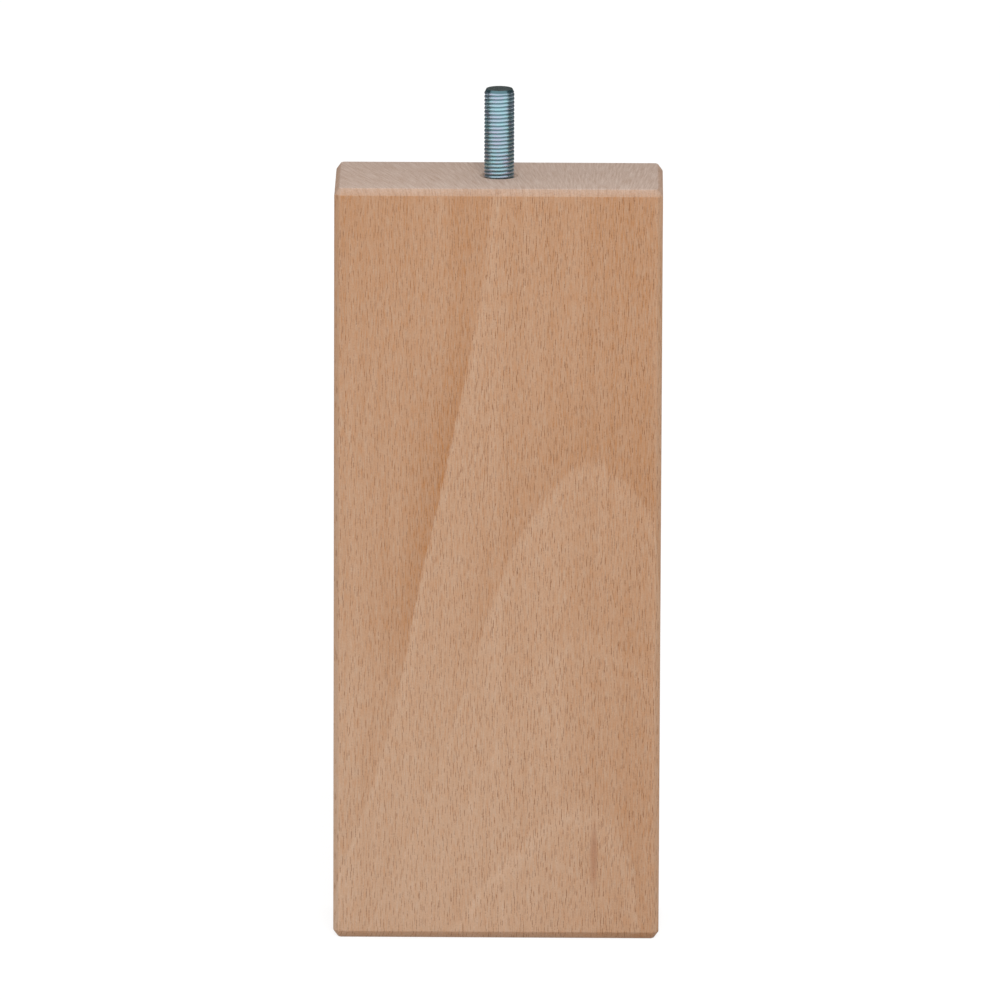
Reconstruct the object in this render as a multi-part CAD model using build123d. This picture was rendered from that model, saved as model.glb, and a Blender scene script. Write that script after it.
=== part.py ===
# A block leg for furniture: one solid beech board stood on end, with a steel hanger bolt in its top.
# Sizes are in millimetres. The origin is the middle of the foot and +Z runs up the leg.
# X is the leg's width, Y its depth, and the broad flat-sawn face looks towards -Y.
import os

from build123d import *

# The beech block
leg_height = 200.0
leg_width = 85.0
leg_depth = 36.0
arris_chamfer = 1.4
end_chamfer_along = 1.9
end_chamfer_across = 1.3

# The hanger bolt, whose two threads are drawn as their plain outer envelopes
thread_diameter = 7.8
stud_projection = 23.0
stud_lead_length = 1.0
stud_lead_depth = 0.5
neck_diameter = 7.0
neck_length = 5.0
screw_length = 30.0
screw_point_length = 7.0
screw_tip_diameter = 1.0

# The bore that the bolt is driven into
mouth_depth = 0.9
mouth_widening = 1.0
bore_clearance = 0.05
bore_end_gap = 1.5

thread_radius = thread_diameter / 2
neck_radius = neck_diameter / 2
screw_tip_radius = screw_tip_diameter / 2
stud_top = leg_height + stud_projection
screw_top = leg_height - neck_length
screw_tip = screw_top - screw_length
point_top = screw_tip + screw_point_length


def turned(outline):
    """A solid of revolution about the leg's axis, from (radius, height) points."""
    half_section = make_face(Plane.XZ * Polyline(*outline, close=True))
    return revolve(half_section, axis=Axis.Z)


def bore_cutter():
    """The bore as the screw leaves it: countersunk at the mouth and tapered at its end."""
    bore_radius = thread_radius + bore_clearance
    end_radius = screw_tip_radius + bore_clearance
    return turned([
        (0, leg_height),
        (bore_radius + mouth_widening, leg_height),
        (bore_radius, leg_height - mouth_depth),
        (bore_radius, point_top - bore_end_gap),
        (end_radius, screw_tip - bore_end_gap),
        (0, screw_tip - bore_end_gap),
    ])


def leg_block():
    """The board with its long arrises and both ends' edges chamfered, bored down from the top."""
    base = (Align.CENTER, Align.CENTER, Align.MIN)
    block = Box(leg_width, leg_depth, leg_height, align=base)
    block = chamfer(block.edges().filter_by(Axis.Z), arris_chamfer)
    for end in (-1, 0):
        end_face = block.faces().filter_by(Axis.Z).sort_by(Axis.Z)[end]
        block = chamfer(end_face.edges(), end_chamfer_across, end_chamfer_along, reference=end_face)
    return block - bore_cutter()


def hanger_bolt():
    """The machine-threaded stud above the wood, the neck below its surface, and the pointed wood screw."""
    return turned([
        (0, stud_top),
        (thread_radius - stud_lead_depth, stud_top),
        (thread_radius, stud_top - stud_lead_length),
        (thread_radius, leg_height),
        (neck_radius, leg_height),
        (neck_radius, screw_top),
        (thread_radius, screw_top),
        (thread_radius, point_top),
        (screw_tip_radius, screw_tip),
        (0, screw_tip),
    ])


nodes = {
    "leg_block": leg_block(),
    "hanger_bolt": hanger_bolt(),
}

os.makedirs("parts", exist_ok=True)
for name, solid in nodes.items():
    export_step(solid, f"parts/{name}.step")
    print(name, round(solid.volume, 1), "mm3")
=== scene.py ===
# Looks for a beech furniture leg with a steel hanger bolt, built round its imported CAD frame.
import math

import bmesh
import bpy
from mathutils import Matrix, Vector


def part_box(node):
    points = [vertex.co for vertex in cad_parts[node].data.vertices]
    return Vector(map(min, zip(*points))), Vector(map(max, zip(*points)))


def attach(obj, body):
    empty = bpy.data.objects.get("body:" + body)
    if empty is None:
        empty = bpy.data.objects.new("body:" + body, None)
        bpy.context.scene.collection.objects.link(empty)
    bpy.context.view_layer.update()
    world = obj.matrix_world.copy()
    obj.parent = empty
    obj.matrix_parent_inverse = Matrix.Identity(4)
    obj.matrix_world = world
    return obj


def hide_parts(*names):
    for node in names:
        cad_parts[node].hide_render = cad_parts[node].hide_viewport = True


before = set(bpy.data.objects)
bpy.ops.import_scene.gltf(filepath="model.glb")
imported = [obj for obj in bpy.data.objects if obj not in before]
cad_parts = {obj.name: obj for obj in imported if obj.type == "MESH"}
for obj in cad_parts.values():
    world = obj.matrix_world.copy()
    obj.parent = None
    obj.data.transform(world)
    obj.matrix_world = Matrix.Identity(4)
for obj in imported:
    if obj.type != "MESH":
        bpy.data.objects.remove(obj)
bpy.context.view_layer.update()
blockLow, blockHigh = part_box("leg_block")
boltLow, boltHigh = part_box("hanger_bolt")
print("frame loaded:", ", ".join(sorted(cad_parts)))


def linearColour(code):  # an sRGB hex value as the linear colour that Blender works in
    parts = [int(code[i:i + 2], 16) / 255 for i in (0, 2, 4)]
    linear = [c / 12.92 if c <= 0.04045 else ((c + 0.055) / 1.055) ** 2.4 for c in parts]
    return (*linear, 1.0)


def addNode(tree, kind, feeds=(), **settings):
    # one node with its settings and feeds, by name or in the order of its live inputs; a feed is
    # a value, a socket, or a node whose live output is taken
    node = tree.nodes.new(kind)
    for name, value in settings.items():
        setattr(node, name, value)
    for key, value in feeds.items() if isinstance(feeds, dict) else enumerate(feeds):
        live = [s for s in node.inputs if s.enabled]
        socket = live[key] if isinstance(key, int) else next(s for s in live if s.name == key)
        if isinstance(value, bpy.types.Node):
            value = next(s for s in value.outputs if s.enabled)
        if isinstance(value, bpy.types.NodeSocket):
            tree.links.new(value, socket)
        else:
            socket.default_value = value
    return node


def newMaterial(name):
    material = bpy.data.materials.new(name)
    material.use_nodes = True
    material.node_tree.nodes.clear()
    return material, material.node_tree


def finishMaterial(tree, shader):
    addNode(tree, "ShaderNodeOutputMaterial", {"Surface": shader})


def addObject(name, data):  # a new object, linked into the scene
    thing = bpy.data.objects.new(name, data)
    bpy.context.scene.collection.objects.link(thing)
    return thing


def addForm(name, form, material=None):  # a new object with the built form as its mesh
    mesh = bpy.data.meshes.new(name)
    form.to_mesh(mesh)
    form.free()
    if material:
        mesh.materials.append(material)
    return addObject(name, mesh)


def plainMesh(maker, name):  # what the modifiers make of an object, as a plain mesh on a new one
    bpy.context.view_layer.update()
    graph = bpy.context.evaluated_depsgraph_get()
    mesh = bpy.data.meshes.new_from_object(maker.evaluated_get(graph))
    mesh.name = name
    bpy.data.objects.remove(maker)
    return addObject(name, mesh)


# The camera: a long lens a little above the leg, as a catalogue photograph is taken
camera = {
    "distance": 4.0,                    # metres
    "lookAt": (0.00055, 0.0, 0.11353),  # metres
    "downTilt": 13.08,                  # degrees, and the next two
    "turn": -0.37,
    "roll": 0.22,
    "lens": 552.3,                      # mm, and the next one
    "sensor": 36.0,
}


def placeCamera():
    turn = math.radians(camera["turn"])
    tilt = math.radians(camera["downTilt"])
    roll = math.radians(camera["roll"])
    forward = Vector((math.sin(turn) * math.cos(tilt), math.cos(turn) * math.cos(tilt), -math.sin(tilt)))
    level = forward.cross(Vector((0, 0, 1))).normalized()
    upright = level.cross(forward)
    right = math.cos(roll) * level + math.sin(roll) * upright
    above = right.cross(forward)
    data = bpy.data.cameras.new("camera")
    data.sensor_width = camera["sensor"]
    data.lens = camera["lens"]
    eye = addObject("camera", data)
    spot = Vector(camera["lookAt"]) - forward * camera["distance"]
    axes = Matrix((right, above, -forward)).transposed()
    eye.matrix_world = Matrix.Translation(spot) @ axes.to_4x4()
    bpy.context.scene.camera = eye


placeCamera()
bpy.context.scene.view_settings.view_transform = "Standard"
print("camera placed")


# The studio: pale floor, soft box ahead and above, two fills behind, an even white room, and grey
# cards that only gloss sees
studio = {
    "roomLevel": 0.50,         # light from all round, as a share of full white
    "floorAlbedo": 0.60,
    "floorGlow": 0.86,         # what the camera sees of the floor before its share of light and shadow
    "floorCatch": 0.20,
    "floorHalf": 9.0,          # metres
    "floorDrop": 0.0001,       # below the foot, so that the two never share a plane
    "lampAim": 0.11,           # metres up the leg
    "keyPower": 59.0,          # watts
    "keySize": 1.3,
    "keyDistance": 3.0,
    "keyAround": 4.0,          # degrees to the right of straight ahead
    "keyHeight": 40.0,         # degrees above level
    "fillPower": 16.0,
    "fillSize": 1.6,
    "fillDistance": 3.0,
    "fillAround": 150.0,
    "fillHeight": 12.0,
    "cardFrom": (84.0, 74.0),  # degrees round from the camera, to the left and to the right
    "cardTo": 180.0,
    "cardSteps": 12,
    "cardDistance": 0.5,
    "cardFoot": 0.01,
    "cardHeight": 1.1,
    "cardGrey": 0.2,
}


def seenDirectly(tree):  # 1 for what the camera, gloss and glass see, and 0 for light on the object
    path = addNode(tree, "ShaderNodeLightPath")
    either = addNode(tree, "ShaderNodeMath", [path.outputs["Is Camera Ray"],
                                              path.outputs["Is Glossy Ray"]], operation="MAXIMUM")
    return addNode(tree, "ShaderNodeMath", [either, path.outputs["Is Transmission Ray"]],
                   operation="MAXIMUM")


def makeRoom():
    world = bpy.data.worlds.new("studio room")
    world.use_nodes = True
    tree = world.node_tree
    tree.nodes.clear()
    light = addNode(tree, "ShaderNodeBackground", {"Color": (1, 1, 1, 1), "Strength": studio["roomLevel"]})
    white = addNode(tree, "ShaderNodeBackground", {"Color": (1, 1, 1, 1), "Strength": 1.0})
    mixed = addNode(tree, "ShaderNodeMixShader", [seenDirectly(tree), light, white])
    addNode(tree, "ShaderNodeOutputWorld", {"Surface": mixed})
    bpy.context.scene.world = world


def makeFloor():
    material, tree = newMaterial("matt white paper floor")
    light = addNode(tree, "ShaderNodeBsdfDiffuse", {"Color": (studio["floorAlbedo"],) * 3 + (1,)})
    glow = addNode(tree, "ShaderNodeEmission", {"Color": (1, 1, 1, 1), "Strength": studio["floorGlow"]})
    catch = addNode(tree, "ShaderNodeBsdfDiffuse", {"Color": (studio["floorCatch"],) * 3 + (1,)})
    shown = addNode(tree, "ShaderNodeAddShader", [glow, catch])
    finishMaterial(tree, addNode(tree, "ShaderNodeMixShader", [seenDirectly(tree), light, shown]))
    form = bmesh.new()
    bmesh.ops.create_grid(form, x_segments=8, y_segments=8, size=studio["floorHalf"])
    floor = addForm("floor", form, material)
    floor.location.z = -studio["floorDrop"]


def makeLamp(name, kind, side):  # an area lamp, whose values' names start with its kind
    data = bpy.data.lights.new(name, "AREA")
    data.size = studio[kind + "Size"]
    data.energy = studio[kind + "Power"]
    lamp = addObject(name, data)
    turn = math.radians(studio[kind + "Around"] * side)
    rise = math.radians(studio[kind + "Height"])
    away = Vector((math.sin(turn) * math.cos(rise), -math.cos(turn) * math.cos(rise), math.sin(rise)))
    lamp.location = Vector((0, 0, studio["lampAim"])) + away * studio[kind + "Distance"]
    lamp.rotation_mode = "QUATERNION"
    lamp.rotation_quaternion = away.to_track_quat("Z", "Y")
    lamp.visible_glossy = False


def makeCards():  # two curved grey cards behind the leg to left and right, which only gloss sees
    material, tree = newMaterial("grey card")
    finishMaterial(tree, addNode(tree, "ShaderNodeBsdfDiffuse", {"Color": (studio["cardGrey"],) * 3 + (1,)}))
    steps = studio["cardSteps"]
    form = bmesh.new()
    for side, start in zip((-1, 1), studio["cardFrom"]):
        previous = None
        for step in range(steps + 1):
            turn = math.radians(start + (studio["cardTo"] - start) * step / steps)
            foot = Vector((side * math.sin(turn), -math.cos(turn), 0)) * studio["cardDistance"]
            heights = (studio["cardFoot"], studio["cardHeight"])
            pair = [form.verts.new(foot + Vector((0, 0, height))) for height in heights]
            if previous:
                form.faces.new((previous[0], pair[0], pair[1], previous[1]))
            previous = pair
    cards = addForm("cards", form, material)
    for kind in ("camera", "diffuse", "transmission", "volume_scatter", "shadow"):
        setattr(cards, "visible_" + kind, False)


makeRoom()
makeFloor()
makeCards()
makeLamp("soft box", "key", 1)
for side in (-1, 1):
    makeLamp("back fill", "fill", side)
print("studio lit")


# The beech board: flat sawn, sanded, with its arrises taken off
board = {
    "arrisChamfer": 1.4,       # mm
    "endChamferAlong": 1.9,
    "endChamferAcross": 1.3,
    "softening": 0.2,          # sandpaper on every edge
    "softeningSegments": 3,
    "softenAbove": 20.0,       # degrees between faces, and the next one
    "sharpAbove": 24.0,
    "mouthRadius": 4.95,       # the countersunk bore that the bolt stands in
    "mouthDepth": 0.9,
    "boreRadius": 3.95,
    "boreStraightTo": 170.5,
    "boreFoot": 163.5,
    "boreFootRadius": 0.55,
    "boreFacets": 96,
}

beech = {
    "pithAhead": 126.0,        # mm from the broad face to the heart of the tree, in front of it
    "pithAcross": 24.3,        # mm right of the middle
    "lean": 0.0024,            # how the heart drifts left, more and more below leanFrom
    "leanFrom": 70.0,
    "climb": 0.07,             # how far the rings run outwards for each mm up the leg
    "climbEase": 0.00032,      # and how that eases off above climbEaseFrom
    "climbEaseFrom": 110.0,
    # how the rings stray: rate for each mm across and along, detail, roughness, and mm either way
    "wander": (0.03, 0.011, 2.0, 0.5, 0.25),
    "ragged": (2.0, 0.2, 4.0, 0.6, 0.16),
    "straySpan": (0.25, 0.75),  # the noise values that reach from one side to the other
    "ringEdges": [-3.0, 2.8, 5.8, 8.7, 14.1, 22.4, 25.8, 28.3, 31.9, 34.2, 38.0, 40.4, 43.1,
                  46.6, 48.8, 51.9, 55.2, 57.4, 60.6, 63.1, 66.2, 69.0],
    # how much darker each ring starts, and how plain the pale line at its outer end is
    "ringDepths": [0.14, 0.20, 0.10, 0.26, 0.57, 0.06, 0.10, 0.20, 0.16, 0.26, 0.20, 0.34, 0.18,
                   0.28, 0.34, 0.20, 0.30, 0.24, 0.34, 0.20, 0.28],
    "ringLines": [0.22, 0.08, 0.10, 0.14, 0.02, 0.02, 0.10, 0.10, 0.14, 0.10, 0.12, 0.14, 0.10,
                  0.14, 0.10, 0.12, 0.14, 0.10, 0.12, 0.10, 0.12],
    # places through a ring with their strength: the dark start that fades, and the line before its end
    "ringFade": ((0.0, 1.0), (0.04, 0.97), (0.16, 0.76), (0.38, 0.27), (0.7, 0.0)),
    "ringLine": ((0.86, 0.0), (0.94, 1.0), (0.99, 0.0)),

    # the dark rings are plainest half way up: heights in mm where that begins and is full
    "plainFoot": (62.0, 92.0),
    "plainTop": (178.0, 125.0),
    "plainLeast": 0.34,

    # tone runs from 0, palest, to 1, deepest; each has two places in mm and its share at either
    "toneUp": (10.0, 200.0, 0.0, 0.56),
    "toneRight": (4.0, 44.0, 0.0, 0.5),
    "toneRightUp": (110.0, 40.0, 0.36, 1.0),
    "toneLeft": (-18.0, -38.0, 0.0, 0.12),
    # painted highlight along the broad face's edges next to the arrises
    "paintedArrisHighlight": (40.4, 41.0, 0.0, -0.15),
    # painted highlight paling the end grain towards its front edge
    "paintedEndHighlight": (-6.0, -16.0, 0.0, -0.15),
    # and these go by how far a surface faces up or sideways: painted shade on faces that look down, painted
    # light on faces that look sideways, and the end grain's share
    "paintedUndersideShade": (-0.2, -0.5, 0.0, 0.28),
    "paintedSideLight": (0.3, 0.6, 0.0, -0.05),
    "topFrom": (0.35, 0.85),
    "undersideFrom": (-0.6, -1.0),

    # fibres about 0.2 mm across, wider streaks of 1 mm and 3 mm: rate across and along, and strength
    "fibres": ((4.6, 0.3, 0.85), (1.1, 0.08, 0.08), (0.3, 0.012, 0.15)),
    "fibreDetail": (3.0, 0.6),
    "fibreSpan": (0.2, 0.8),
    "gritRate": 2.4,
    "mottle": (0.45, 1.05, 0.84, 1.16),

    # rays, in mm round the heart, outwards from it and up: how far apart, and how large
    "rayGaps": (0.8, 18.0, 2.9),
    "raySizes": (0.1, 14.0, 1.6),
    "rayShortening": (1.7, 0.7),
    "rayEdge": (1.15, 0.45),
    "rayFray": 0.25,
    "fraySpan": (0.3, 0.7),
    "rayStrength": (0.5, 1.0),
    "rayLeft": (-32.0, 2.0, 0.75, 1.0),
    "rayOnSide": (0.5, 0.95, 1.0, 0.3),
    "rayDip": 0.8,

    "endLineRate": (2.4, 0.12, 0.3),
    "endSpeckleRate": 2.6,
    "endContrast": (0.72, 1.28),
    "endRings": 0.5,
    "streakAt": (25.5, -18.0, 22.5),
    "streakSize": (1.5, 4.0, 12.5),
    "streakFade": (1.0, 0.2, 0.0, 0.75),
    "palest": "C4A084",
    "deepest": "AF805B",
    "fleck": "8C6040",
    "streak": "A97C60",        # a short mineral streak low on the broad face
    "endPale": "CDB9AC",
    "endDeep": "AE9280",
    "roughness": 0.62,
    "bumpDepth": 0.00004,      # metres
}


def drawnOut(tree, mm, crossRate, alongRate, detail, roughness):  # noise drawn out along the leg
    rates = (crossRate, crossRate, alongRate)
    stretched = addNode(tree, "ShaderNodeMapping", {"Vector": mm, "Scale": rates})
    return addNode(tree, "ShaderNodeTexNoise", {"Vector": stretched, "Scale": 1.0, "Detail": detail,
                                                "Roughness": roughness})


def makeBeech():
    # Beech, planed and sanded, no lacquer: pale pinkish tan, faint flat-sawn arches, brown ray flecks
    material, tree = newMaterial("sanded raw beech")
    place = addNode(tree, "ShaderNodeTexCoord")
    mm = addNode(tree, "ShaderNodeVectorMath", [place.outputs["Object"], 1000.0], operation="SCALE")
    x, y, z = addNode(tree, "ShaderNodeSeparateXYZ", [mm]).outputs
    facing = addNode(tree, "ShaderNodeSeparateXYZ", [place.outputs["Normal"]])
    sideways = addNode(tree, "ShaderNodeMath", [facing.outputs[0]], operation="ABSOLUTE")

    # distance from the heart
    over = addNode(tree, "ShaderNodeMath", [z, beech["climbEaseFrom"]], operation="SUBTRACT")
    over = addNode(tree, "ShaderNodeMath", [over, 0.0], operation="MAXIMUM")
    over = addNode(tree, "ShaderNodeMath", [over, 2.0], operation="POWER")
    under = addNode(tree, "ShaderNodeMath", [beech["leanFrom"], z], operation="SUBTRACT")
    under = addNode(tree, "ShaderNodeMath", [under, 0.0], operation="MAXIMUM")
    under = addNode(tree, "ShaderNodeMath", [under, 2.0], operation="POWER")
    upright = addNode(tree, "ShaderNodeMath", [x, beech["pithAcross"]], operation="SUBTRACT")
    across = addNode(tree, "ShaderNodeMath", [under, beech["lean"], upright], operation="MULTIPLY_ADD")
    frontFace = blockLow.y * 1000
    deep = addNode(tree, "ShaderNodeMath", [y, beech["pithAhead"] - frontFace], operation="ADD")
    fromHeart = addNode(tree, "ShaderNodeCombineXYZ", [across, deep])
    radius = addNode(tree, "ShaderNodeVectorMath", [fromHeart], operation="LENGTH").outputs["Value"]
    rho = addNode(tree, "ShaderNodeMath", [z, beech["climb"], radius], operation="MULTIPLY_ADD")
    rho = addNode(tree, "ShaderNodeMath", [over, -beech["climbEase"], rho], operation="MULTIPLY_ADD")
    for *pattern, reach in (beech["wander"], beech["ragged"]):
        stray = drawnOut(tree, mm, *pattern)
        stray = addNode(tree, "ShaderNodeMapRange", [stray, *beech["straySpan"], -reach, reach], clamp=False)
        rho = addNode(tree, "ShaderNodeMath", [rho, stray], operation="ADD")
    rho = addNode(tree, "ShaderNodeMath", [rho, beech["pithAhead"]], operation="SUBTRACT")

    # which ring, and how far through it
    edges = beech["ringEdges"]
    rings = len(edges) - 1
    along = addNode(tree, "ShaderNodeMapRange", [rho, edges[0], edges[-1]])
    counter = addNode(tree, "ShaderNodeFloatCurve", {"Value": along})
    line = counter.mapping.curves[0]
    for count in range(1, rings):
        line.points.new((edges[count] - edges[0]) / (edges[-1] - edges[0]), count / rings)
    ring = addNode(tree, "ShaderNodeMath", [counter, float(rings)], operation="MULTIPLY")
    through = addNode(tree, "ShaderNodeMath", [ring], operation="FRACT")
    number = addNode(tree, "ShaderNodeMath", [ring], operation="FLOOR")
    number = addNode(tree, "ShaderNodeMath", [number, 0.5], operation="ADD")
    share = addNode(tree, "ShaderNodeMath", [number, float(rings)], operation="DIVIDE")
    perRing = []
    for levels in (beech["ringDepths"], beech["ringLines"]):
        chart = addNode(tree, "ShaderNodeFloatCurve", {"Value": share})
        line = chart.mapping.curves[0]
        line.points[0].location = (0.0, levels[0])
        line.points[-1].location = (1.0, levels[-1])
        for count, level in enumerate(levels):
            line.points.new((count + 0.5) / rings, level)
        perRing.append(chart)
    for chart in (counter, *perRing):
        for point in chart.mapping.curves[0].points:
            point.handle_type = "VECTOR"
        chart.mapping.update()
    ramps = []
    for shades in (beech["ringFade"], beech["ringLine"]):
        ramp = addNode(tree, "ShaderNodeValToRGB", [through])
        stops = ramp.color_ramp.elements
        stops[0].position = shades[0][0]
        stops[1].position = shades[-1][0]
        for spot, level in shades[1:-1]:
            stops.new(spot)
        for stop, (spot, level) in zip(stops, shades):
            stop.color = (level, level, level, 1)
        ramps.append(ramp)

    # the rings' dark starts are plainest half way up
    rise = addNode(tree, "ShaderNodeMapRange", [z, *beech["plainFoot"]], interpolation_type="SMOOTHSTEP")
    fall = addNode(tree, "ShaderNodeMapRange", [z, *beech["plainTop"]], interpolation_type="SMOOTHSTEP")
    plain = addNode(tree, "ShaderNodeMath", [rise, fall], operation="MULTIPLY")
    plain = addNode(tree, "ShaderNodeMapRange", {"Value": plain, "To Min": beech["plainLeast"]})
    dark = addNode(tree, "ShaderNodeMath", [ramps[0], perRing[0]], operation="MULTIPLY")
    dark = addNode(tree, "ShaderNodeMath", [dark, plain], operation="MULTIPLY")
    light = addNode(tree, "ShaderNodeMath", [ramps[1], perRing[1]], operation="MULTIPLY")

    # the board is paler and pinker towards its foot, redder at its right edge, browner at its upper left
    height = addNode(tree, "ShaderNodeMapRange", [z, *beech["toneUp"]])
    right = addNode(tree, "ShaderNodeMapRange", [x, *beech["toneRight"]], interpolation_type="SMOOTHSTEP")
    lower = addNode(tree, "ShaderNodeMapRange", [z, *beech["toneRightUp"]])
    tone = addNode(tree, "ShaderNodeMath", [right, lower, height], operation="MULTIPLY_ADD")
    left = addNode(tree, "ShaderNodeMapRange", [x, *beech["toneLeft"]])
    tone = addNode(tree, "ShaderNodeMath", [left, rise, tone], operation="MULTIPLY_ADD")
    tone = addNode(tree, "ShaderNodeMath", [tone, dark], operation="ADD")
    tone = addNode(tree, "ShaderNodeMath", [light, -1.0, tone], operation="MULTIPLY_ADD")

    grit = addNode(tree, "ShaderNodeTexNoise", {"Vector": mm, "Scale": beech["gritRate"], "Detail": 2.0})
    fibres = []
    for crossRate, alongRate, reach in beech["fibres"]:
        fibre = drawnOut(tree, mm, crossRate, alongRate, *beech["fibreDetail"])
        fibres.append(fibre)
        swing = addNode(tree, "ShaderNodeMapRange", [fibre, *beech["fibreSpan"], -reach, reach], clamp=False)
        tone = addNode(tree, "ShaderNodeMath", [tone, swing], operation="ADD")

    # rays: thin sheets that run out from the heart, cut across by the broad face into short brown dashes
    angle = addNode(tree, "ShaderNodeMath", [upright, deep], operation="ARCTAN2")
    roundHeart = addNode(tree, "ShaderNodeMath", [angle, beech["pithAhead"]], operation="MULTIPLY")
    rayPlace = addNode(tree, "ShaderNodeCombineXYZ", [roundHeart, radius, z])
    rates = tuple(1 / gap for gap in beech["rayGaps"])
    cells = addNode(tree, "ShaderNodeVectorMath", [rayPlace, rates], operation="MULTIPLY")
    rays = addNode(tree, "ShaderNodeTexVoronoi", {"Vector": cells, "Scale": 1.0, "Randomness": 1.0})
    offset = addNode(tree, "ShaderNodeVectorMath", [cells, rays.outputs["Position"]], operation="SUBTRACT")
    chance = addNode(tree, "ShaderNodeSeparateColor", [rays.outputs["Color"]])
    shares = tuple(gap / size for gap, size in zip(beech["rayGaps"], beech["raySizes"]))
    sized = addNode(tree, "ShaderNodeVectorMath", [offset, shares], operation="MULTIPLY")
    shorter = addNode(tree, "ShaderNodeMapRange", [chance.outputs[0], 0.0, 1.0, *beech["rayShortening"]])
    stretch = addNode(tree, "ShaderNodeCombineXYZ", [1.0, 1.0, shorter])
    sized = addNode(tree, "ShaderNodeVectorMath", [sized, stretch], operation="MULTIPLY")
    reachOut = addNode(tree, "ShaderNodeVectorMath", [sized], operation="LENGTH").outputs["Value"]
    fray = beech["rayFray"]
    frayed = addNode(tree, "ShaderNodeMapRange", [grit, *beech["fraySpan"], -fray, fray], clamp=False)
    reachOut = addNode(tree, "ShaderNodeMath", [reachOut, frayed], operation="ADD")
    fleck = addNode(tree, "ShaderNodeMapRange", [reachOut, *beech["rayEdge"]],
                    interpolation_type="SMOOTHSTEP")
    vivid = addNode(tree, "ShaderNodeMapRange", [chance.outputs[1], 0.0, 1.0, *beech["rayStrength"]])
    fainter = addNode(tree, "ShaderNodeMapRange", [x, *beech["rayLeft"]])
    lengthways = addNode(tree, "ShaderNodeMapRange", [sideways, *beech["rayOnSide"]])
    for share in (vivid, fainter, lengthways):
        fleck = addNode(tree, "ShaderNodeMath", [fleck, share], operation="MULTIPLY")

    # painted light: a painted highlight along the broad face's edges next to the arrises, arrises and narrow
    # sides painted a little paler as they face sideways, and painted shade browning the downward-facing
    # chamfer round the foot
    outwards = addNode(tree, "ShaderNodeMath", [x], operation="ABSOLUTE")
    for source, limits in ((outwards, "paintedArrisHighlight"), (facing.outputs[2], "paintedUndersideShade"), (sideways, "paintedSideLight")):
        paintedLightShift = addNode(tree, "ShaderNodeMapRange", [source, *beech[limits]])
        tone = addNode(tree, "ShaderNodeMath", [tone, paintedLightShift], operation="ADD")
    sawn = addNode(tree, "ShaderNodeMix", {"Factor": tone, "A": linearColour(beech["palest"]),
                                           "B": linearColour(beech["deepest"])}, data_type="RGBA",
                   clamp_factor=False)
    sawn = addNode(tree, "ShaderNodeMix", {"Factor": fleck, "A": sawn, "B": linearColour(beech["fleck"])},
                   data_type="RGBA")
    fromStreak = addNode(tree, "ShaderNodeMapping", {"Vector": mm, "Location": beech["streakAt"],
                                                     "Scale": beech["streakSize"]}, vector_type="TEXTURE")
    fromStreak = addNode(tree, "ShaderNodeVectorMath", [fromStreak], operation="LENGTH").outputs["Value"]
    stain = addNode(tree, "ShaderNodeMapRange", [fromStreak, *beech["streakFade"]],
                    interpolation_type="SMOOTHSTEP")
    sawn = addNode(tree, "ShaderNodeMix", {"Factor": stain, "A": sawn, "B": linearColour(beech["streak"])},
                   data_type="RGBA")

    # end grain: greyer, with a painted highlight paling it towards the front, pale lines along the rays and
    # a fine open speckle
    lineMap = addNode(tree, "ShaderNodeVectorMath", [rayPlace, beech["endLineRate"]], operation="MULTIPLY")
    lines = addNode(tree, "ShaderNodeTexNoise", {"Vector": lineMap, "Scale": 1.0, "Detail": 3.0})
    speckle = addNode(tree, "ShaderNodeTexNoise", {"Vector": mm, "Scale": beech["endSpeckleRate"],
                                                   "Detail": 2.0, "Roughness": 0.7})
    endTone = addNode(tree, "ShaderNodeMath", [lines, speckle], operation="ADD")
    endTone = addNode(tree, "ShaderNodeMapRange", [endTone, *beech["endContrast"]], clamp=False)
    endTone = addNode(tree, "ShaderNodeMath", [dark, beech["endRings"], endTone], operation="MULTIPLY_ADD")
    # painted highlight: the end grain paler towards its front edge
    front = addNode(tree, "ShaderNodeMapRange", [y, *beech["paintedEndHighlight"]])
    endTone = addNode(tree, "ShaderNodeMath", [endTone, front], operation="ADD")
    cross = addNode(tree, "ShaderNodeMix", {"Factor": endTone, "A": linearColour(beech["endPale"]),
                                            "B": linearColour(beech["endDeep"])}, data_type="RGBA")
    upwards = addNode(tree, "ShaderNodeMapRange", [facing.outputs[2], *beech["topFrom"]])
    downwards = addNode(tree, "ShaderNodeMapRange", [facing.outputs[2], *beech["undersideFrom"]])
    ends = addNode(tree, "ShaderNodeMath", [upwards, downwards], operation="MAXIMUM")
    colour = addNode(tree, "ShaderNodeMix", {"Factor": ends, "A": sawn, "B": cross}, data_type="RGBA")

    # a slight mottle all over, and a relief of fibres with the flecks sunk in
    mottle = addNode(tree, "ShaderNodeMath", [grit, 0.5, fibres[0]], operation="MULTIPLY_ADD")
    mottle = addNode(tree, "ShaderNodeMapRange", [mottle, *beech["mottle"]], clamp=False)
    colour = addNode(tree, "ShaderNodeMix", {"Factor": 1.0, "A": colour, "B": mottle}, data_type="RGBA",
                     blend_type="MULTIPLY")
    relief = addNode(tree, "ShaderNodeMath", [fleck, -beech["rayDip"], fibres[0]], operation="MULTIPLY_ADD")
    bump = addNode(tree, "ShaderNodeBump", {"Strength": 0.5, "Distance": beech["bumpDepth"],
                                            "Height": relief})
    wood = addNode(tree, "ShaderNodeBsdfPrincipled", {
        "Base Color": colour, "Roughness": beech["roughness"], "IOR": 1.5, "Specular IOR Level": 0.3,
        "Normal": bump})
    finishMaterial(tree, wood)
    return material


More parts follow.
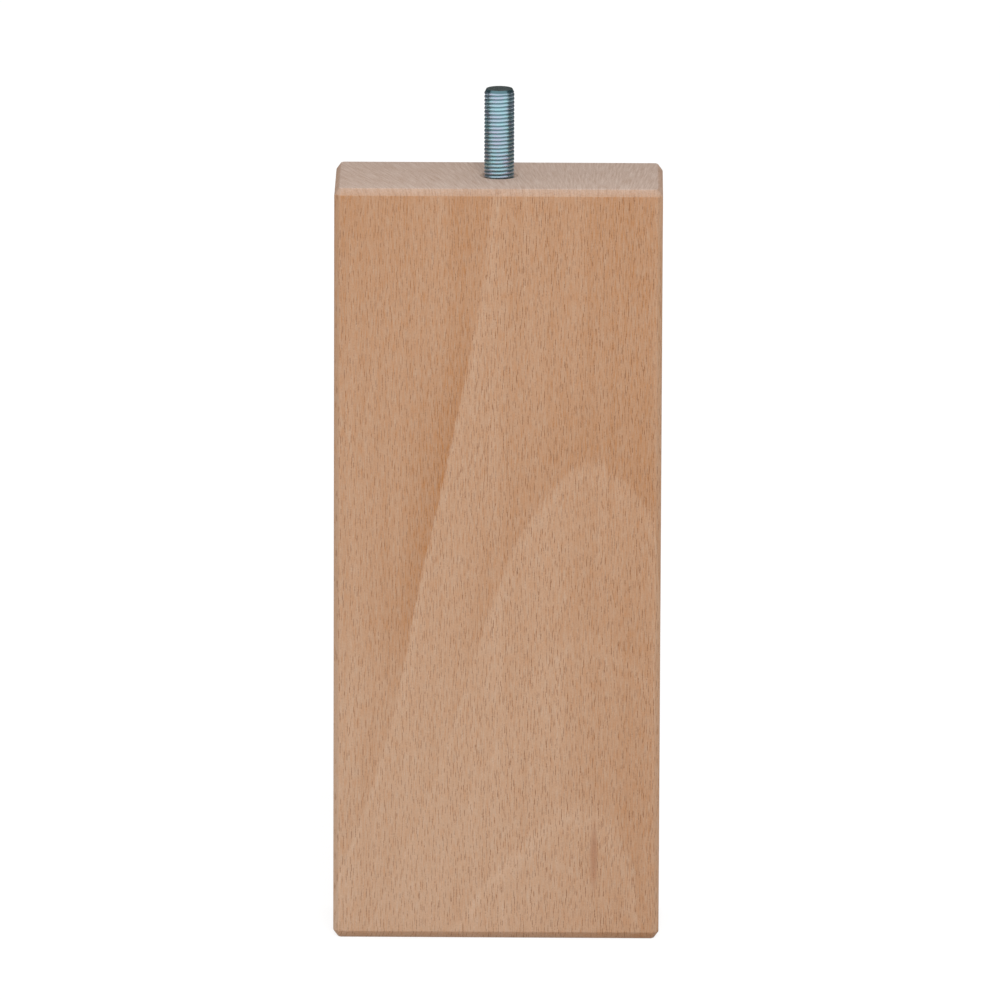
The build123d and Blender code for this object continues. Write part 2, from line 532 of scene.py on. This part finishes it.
def ringOf(form, width, depth, corner, height):  # eight points round the board at one height
    w = width / 2
    d = depth / 2
    plan = [(w, -d + corner), (w, d - corner), (w - corner, d), (-w + corner, d),
            (-w, d - corner), (-w, -d + corner), (-w + corner, -d), (w - corner, -d)]
    return [form.verts.new((px, py, height)) for px, py in plan]


def makeBlock(material):
    mm = 0.001
    width = blockHigh.x - blockLow.x
    depth = blockHigh.y - blockLow.y
    tall = blockHigh.z
    corner = board["arrisChamfer"] * mm
    along = board["endChamferAlong"] * mm
    inset = board["endChamferAcross"] * mm
    endCorner = corner + inset * (math.sqrt(2) - 2)  # the end chamfer keeps its width round the arris
    form = bmesh.new()
    levels = [ringOf(form, width - 2 * inset, depth - 2 * inset, endCorner, 0.0),
              ringOf(form, width, depth, corner, along),
              ringOf(form, width, depth, corner, tall - along),
              ringOf(form, width - 2 * inset, depth - 2 * inset, endCorner, tall)]
    form.faces.new(levels[0])
    form.faces.new(levels[3])
    for low, high in zip(levels, levels[1:]):
        for i in range(8):
            form.faces.new((low[i], low[(i + 1) % 8], high[(i + 1) % 8], high[i]))
    bmesh.ops.recalc_face_normals(form, faces=form.faces)
    block = addForm("board", form, material)

    # the bore as a turned cutter, a little proud of the top
    form = bmesh.new()
    slope = (board["mouthRadius"] - board["boreRadius"]) / board["mouthDepth"]
    outline = [(0.0, tall + mm), (board["mouthRadius"] * mm + slope * mm, tall + mm),
               (board["boreRadius"] * mm, tall - board["mouthDepth"] * mm),
               (board["boreRadius"] * mm, board["boreStraightTo"] * mm),
               (board["boreFootRadius"] * mm, board["boreFoot"] * mm), (0.0, board["boreFoot"] * mm)]
    path = [form.verts.new((r, 0, h)) for r, h in outline]
    walls = [form.edges.new(pair) for pair in zip(path, path[1:])]
    bmesh.ops.spin(form, geom=path + walls, axis=(0, 0, 1), cent=(0, 0, 0), angle=math.tau,
                   steps=board["boreFacets"])
    bmesh.ops.remove_doubles(form, verts=form.verts, dist=1e-6)
    bmesh.ops.recalc_face_normals(form, faces=form.faces)
    cutter = addForm("bore", form)

    soften = block.modifiers.new("softening", "BEVEL")
    soften.width = board["softening"] * mm
    soften.segments = board["softeningSegments"]
    soften.limit_method = "ANGLE"
    soften.angle_limit = math.radians(board["softenAbove"])
    drill = block.modifiers.new("drill", "BOOLEAN")
    drill.operation = "DIFFERENCE"
    drill.solver = "EXACT"
    drill.object = cutter
    piece = plainMesh(block, "legBlock")
    bpy.data.objects.remove(cutter)
    for face in piece.data.polygons:
        face.use_smooth = True
    piece.data.set_sharp_from_angle(angle=math.radians(board["sharpAbove"]))
    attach(piece, "root")
    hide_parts("leg_block")
    return piece


legBlock = makeBlock(makeBeech())
print("board made:", len(legBlock.data.polygons), "faces")


# The hanger bolt: machine thread above the wood, smooth neck, wood screw below
bolt = {
    "Machine pitch": 1.0,       # mm from here on
    "Machine root": 3.7,
    "Wood pitch": 3.0,
    "Wood core": 2.75,
    "Neck radius": 3.5,
    "Neck foot": 195.0,
    "Seat height": 199.2,       # where the machine thread has its full depth, just inside the bore's mouth
    "Point length": 7.0,
    "Tip radius": 0.5,
    "Lead length": 1.0,
    "Lead depth": 0.5,
    "Thread radius": boltHigh.x * 1000,
    "Bolt top": boltHigh.z * 1000,
    "Bolt tip": boltLow.z * 1000,
}
boltForm = {
    "facets": 72,               # round each turn
    "rows": 12,                 # along each turn
    "capRows": 8,               # across each end
    "machineFlank": (0.12, 0.75),  # where a thread starts and stops rising, through half a turn
    "woodFlank": (0.5, 0.95),
    "machineFade": 1.0,         # mm over which each thread dies out
    "woodFade": 2.0,
    "weldWithin": 0.004,
    "topWithin": 0.01,          # what counts as the sheared end
    "sharpAbove": 50.0,         # degrees
}

steel = {
    "plateBlue": "A9D7E0",
    "plateGrey": "BAC4DA",
    # the thread roots' colour, darkened as painted shade with some dirt
    "grooveShadeAndDirt": "658790",
    "sheared": "5A6564",
    "shearedPale": "828F8E",
    "patchRate": 0.4,           # for each mm, and the next one
    "grainRate": 6.0,
    "patchSpan": (0.35, 0.65),  # the noise values that reach from one end to the other
    "grainSpan": (0.3, 0.7),
    "crestWithin": 0.08,        # mm below the crests where the plate's own colour starts
    "plateRoughness": (0.2, 0.34),
    "shearedRoughness": 0.55,
    "dragTurn": 0.6,            # radians
    "dragRates": (4000, 700, 1000),  # for each metre
    "plateBump": 0.00003,       # metres, and the next one
    "shearedBump": 0.00006,
}


def makePlatedSteel():
    # Steel, zinc plated and blue passivated: cool grey, half dull, brighter on crests that wear, with
    # painted shade and dirt darkening the thread roots
    material, tree = newMaterial("blue zinc plated steel")
    place = addNode(tree, "ShaderNodeTexCoord")
    mm = addNode(tree, "ShaderNodeVectorMath", [place.outputs["Object"], 1000.0], operation="SCALE")
    patch = addNode(tree, "ShaderNodeTexNoise", {"Vector": mm, "Scale": steel["patchRate"], "Detail": 3.0})
    patch = addNode(tree, "ShaderNodeMapRange", [patch, *steel["patchSpan"]])
    plate = addNode(tree, "ShaderNodeMix", {"Factor": patch, "A": linearColour(steel["plateBlue"]),
                                            "B": linearColour(steel["plateGrey"])}, data_type="RGBA")
    # painted shade and dirt: the colour darkens from the crests down into the thread roots
    flat = addNode(tree, "ShaderNodeVectorMath", [mm, (1.0, 1.0, 0.0)], operation="MULTIPLY")
    outness = addNode(tree, "ShaderNodeVectorMath", [flat], operation="LENGTH").outputs["Value"]
    crest = addNode(tree, "ShaderNodeMapRange", [outness, bolt["Machine root"],
                                                 bolt["Thread radius"] - steel["crestWithin"]])
    colour = addNode(tree, "ShaderNodeMix", {"Factor": crest, "A": linearColour(steel["grooveShadeAndDirt"]),
                                             "B": plate}, data_type="RGBA")
    grain = addNode(tree, "ShaderNodeTexNoise", {"Vector": mm, "Scale": steel["grainRate"], "Detail": 3.0})
    rough = addNode(tree, "ShaderNodeMapRange", [grain, *steel["grainSpan"], *steel["plateRoughness"]])
    bump = addNode(tree, "ShaderNodeBump", {"Strength": 0.4, "Distance": steel["plateBump"],
                                            "Height": grain})
    metal = addNode(tree, "ShaderNodeBsdfPrincipled", {
        "Base Color": colour, "Metallic": 1.0, "Roughness": rough, "Normal": bump})
    finishMaterial(tree, metal)
    return material


def makeShearedSteel():
    # Bare steel where the rod was sheared off: dark, dull, with drag marks one way across
    material, tree = newMaterial("bare sheared steel")
    place = addNode(tree, "ShaderNodeTexCoord")
    drag = addNode(tree, "ShaderNodeMapping", {"Vector": place.outputs["Object"],
                                               "Rotation": (0, 0, steel["dragTurn"]),
                                               "Scale": steel["dragRates"]})
    marks = addNode(tree, "ShaderNodeTexNoise", {"Vector": drag, "Scale": 1.0, "Detail": 3.0})
    colour = addNode(tree, "ShaderNodeMix", {"Factor": marks, "A": linearColour(steel["sheared"]),
                                             "B": linearColour(steel["shearedPale"])}, data_type="RGBA")
    bump = addNode(tree, "ShaderNodeBump", {"Strength": 0.6, "Distance": steel["shearedBump"],
                                            "Height": marks})
    metal = addNode(tree, "ShaderNodeBsdfPrincipled", {
        "Base Color": colour, "Metallic": 1.0, "Roughness": steel["shearedRoughness"],
        "Normal": bump})
    finishMaterial(tree, metal)
    return material


def growBoltTree():
    # one grid wound up the bolt: its rows follow the thread, so the thread's form depends on the row alone
    tree = bpy.data.node_groups.new("hanger bolt", "GeometryNodeTree")
    for name in bolt:
        tree.interface.new_socket(name, in_out="INPUT", socket_type="NodeSocketFloat")
    for name in ("Plated", "Sheared"):
        tree.interface.new_socket(name, in_out="INPUT", socket_type="NodeSocketMaterial")
    tree.interface.new_socket("Mesh", in_out="OUTPUT", socket_type="NodeSocketGeometry")
    given = addNode(tree, "NodeGroupInput").outputs

    switchAt = (bolt["Neck foot"] + bolt["Seat height"]) / 2  # where the one pitch gives way to the other
    woodTurns = (switchAt - bolt["Bolt tip"]) / bolt["Wood pitch"]
    allTurns = math.ceil(woodTurns + (bolt["Bolt top"] - switchAt) / bolt["Machine pitch"])
    firstRow = boltForm["capRows"] + boltForm["rows"]
    lastRow = firstRow + boltForm["rows"] * allTurns
    rowCount = lastRow + boltForm["capRows"]

    grid = addNode(tree, "GeometryNodeMeshGrid", {"Size X": 1.0, "Size Y": 1.0,
                                                  "Vertices X": boltForm["facets"] + 1,
                                                  "Vertices Y": rowCount + 1})
    spot = addNode(tree, "ShaderNodeSeparateXYZ", [addNode(tree, "GeometryNodeInputPosition")])
    around = addNode(tree, "ShaderNodeMath", [spot.outputs[0], 0.5], operation="ADD")
    row = addNode(tree, "ShaderNodeMath", [spot.outputs[1], 0.5], operation="ADD")
    row = addNode(tree, "ShaderNodeMath", [row, float(rowCount)], operation="MULTIPLY")
    row = addNode(tree, "ShaderNodeMath", [row], operation="ROUND")
    turn = addNode(tree, "ShaderNodeMath", [row, float(firstRow)], operation="SUBTRACT")
    turn = addNode(tree, "ShaderNodeMath", [turn, float(boltForm["rows"])], operation="DIVIDE")
    wound = addNode(tree, "ShaderNodeMath", [turn, around], operation="ADD")

    # height: the wood pitch first, then the machine pitch, held between tip and top
    low = addNode(tree, "ShaderNodeMath", [wound, woodTurns], operation="MINIMUM")
    high = addNode(tree, "ShaderNodeMath", [wound, woodTurns], operation="SUBTRACT")
    high = addNode(tree, "ShaderNodeMath", [high, 0.0], operation="MAXIMUM")
    z = addNode(tree, "ShaderNodeMath", [low, given["Wood pitch"], given["Bolt tip"]],
                operation="MULTIPLY_ADD")
    z = addNode(tree, "ShaderNodeMath", [high, given["Machine pitch"], z], operation="MULTIPLY_ADD")
    z = addNode(tree, "ShaderNodeMath", [z, given["Bolt tip"]], operation="MAXIMUM")
    z = addNode(tree, "ShaderNodeMath", [z, given["Bolt top"]], operation="MINIMUM")

    # 1 on a crest and 0 half a turn on
    phase = addNode(tree, "ShaderNodeMath", [turn], operation="FRACT")
    wave = addNode(tree, "ShaderNodeMath", [phase, 2.0, -1.0], operation="MULTIPLY_ADD")
    wave = addNode(tree, "ShaderNodeMath", [wave], operation="ABSOLUTE")
    ridge = addNode(tree, "ShaderNodeMapRange", [wave, *boltForm["machineFlank"]],
                    interpolation_type="SMOOTHSTEP")
    machine = addNode(tree, "ShaderNodeMapRange", [ridge, 0.0, 1.0, given["Machine root"],
                                                   given["Thread radius"]])
    blade = addNode(tree, "ShaderNodeMapRange", [wave, *boltForm["woodFlank"]],
                    interpolation_type="SMOOTHSTEP")
    pointTop = addNode(tree, "ShaderNodeMath", [given["Bolt tip"], given["Point length"]], operation="ADD")
    skin = addNode(tree, "ShaderNodeMapRange", [z, given["Bolt tip"], pointTop, given["Tip radius"],
                                                given["Thread radius"]])
    core = addNode(tree, "ShaderNodeMapRange", [z, given["Bolt tip"], pointTop, given["Tip radius"],
                                                given["Wood core"]])
    wood = addNode(tree, "ShaderNodeMapRange", [blade, 0.0, 1.0, core, skin])

    # the wood thread dies out below the neck, and the machine thread starts just inside the bore's mouth
    dying = addNode(tree, "ShaderNodeMath", [given["Neck foot"], boltForm["woodFade"]], operation="SUBTRACT")
    r = addNode(tree, "ShaderNodeMapRange", [z, dying, given["Neck foot"], wood, given["Neck radius"]])
    running = addNode(tree, "ShaderNodeMath", [given["Seat height"], boltForm["machineFade"]],
                      operation="SUBTRACT")
    r = addNode(tree, "ShaderNodeMapRange", [z, running, given["Seat height"], r, machine])
    leadFoot = addNode(tree, "ShaderNodeMath", [given["Bolt top"], given["Lead length"]],
                       operation="SUBTRACT")
    leadTop = addNode(tree, "ShaderNodeMath", [given["Thread radius"], given["Lead depth"]],
                      operation="SUBTRACT")
    lead = addNode(tree, "ShaderNodeMapRange", [z, leadFoot, given["Bolt top"], given["Thread radius"],
                                                leadTop])
    r = addNode(tree, "ShaderNodeMath", [r, lead], operation="MINIMUM")

    # both ends close to a pole
    fromFoot = addNode(tree, "ShaderNodeMapRange", [row, 0.0, float(boltForm["capRows"])])
    fromTop = addNode(tree, "ShaderNodeMapRange", [row, float(rowCount), float(lastRow)])
    r = addNode(tree, "ShaderNodeMath", [r, fromFoot], operation="MULTIPLY")
    r = addNode(tree, "ShaderNodeMath", [r, fromTop], operation="MULTIPLY")
    angle = addNode(tree, "ShaderNodeMath", [around, math.tau], operation="MULTIPLY")
    cosine = addNode(tree, "ShaderNodeMath", [angle], operation="COSINE")
    sine = addNode(tree, "ShaderNodeMath", [angle], operation="SINE")
    x = addNode(tree, "ShaderNodeMath", [r, cosine], operation="MULTIPLY")
    y = addNode(tree, "ShaderNodeMath", [r, sine], operation="MULTIPLY")
    wrapped = addNode(tree, "ShaderNodeCombineXYZ", [x, y, z])
    rod = addNode(tree, "GeometryNodeSetPosition", {"Geometry": grid, "Position": wrapped})
    rod = addNode(tree, "GeometryNodeMergeByDistance", {"Geometry": rod, "Distance": boltForm["weldWithin"]})
    rod = addNode(tree, "GeometryNodeRealizeInstances", {"Geometry": rod})
    rod = addNode(tree, "GeometryNodeSetMaterial", {"Geometry": rod, "Material": given["Plated"]})
    spot = addNode(tree, "ShaderNodeSeparateXYZ", [addNode(tree, "GeometryNodeInputPosition")])
    almostTop = addNode(tree, "ShaderNodeMath", [given["Bolt top"], boltForm["topWithin"]],
                        operation="SUBTRACT")
    onTop = addNode(tree, "FunctionNodeCompare", [spot.outputs[2], almostTop], operation="GREATER_THAN")
    rod = addNode(tree, "GeometryNodeSetMaterial", {"Geometry": rod, "Selection": onTop,
                                                    "Material": given["Sheared"]})
    metres = addNode(tree, "GeometryNodeTransform", {"Geometry": rod, "Scale": (0.001, 0.001, 0.001)})
    addNode(tree, "NodeGroupOutput", {"Mesh": metres})
    return tree


def makeBolt(plated, sheared):
    tree = growBoltTree()
    maker = addObject("bolt maker", bpy.data.meshes.new("bolt maker"))
    grow = maker.modifiers.new("bolt", "NODES")
    grow.node_group = tree
    values = {**bolt, "Plated": plated, "Sheared": sheared}
    for item in tree.interface.items_tree:
        if item.in_out == "INPUT":
            grow[item.identifier] = values[item.name]
    piece = plainMesh(maker, "hangerBolt")
    while None in piece.data.materials[:]:  # the slot that the bare starting mesh leaves behind
        piece.data.materials.pop(index=piece.data.materials[:].index(None))
    form = bmesh.new()
    form.from_mesh(piece.data)
    bmesh.ops.recalc_face_normals(form, faces=form.faces)
    for face in form.faces:
        face.smooth = True
    form.to_mesh(piece.data)
    form.free()
    piece.data.set_sharp_from_angle(angle=math.radians(boltForm["sharpAbove"]))
    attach(piece, "root")
    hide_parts("hanger_bolt")
    return piece


hangerBolt = makeBolt(makePlatedSteel(), makeShearedSteel())
print("bolt made:", len(hangerBolt.data.polygons), "faces")
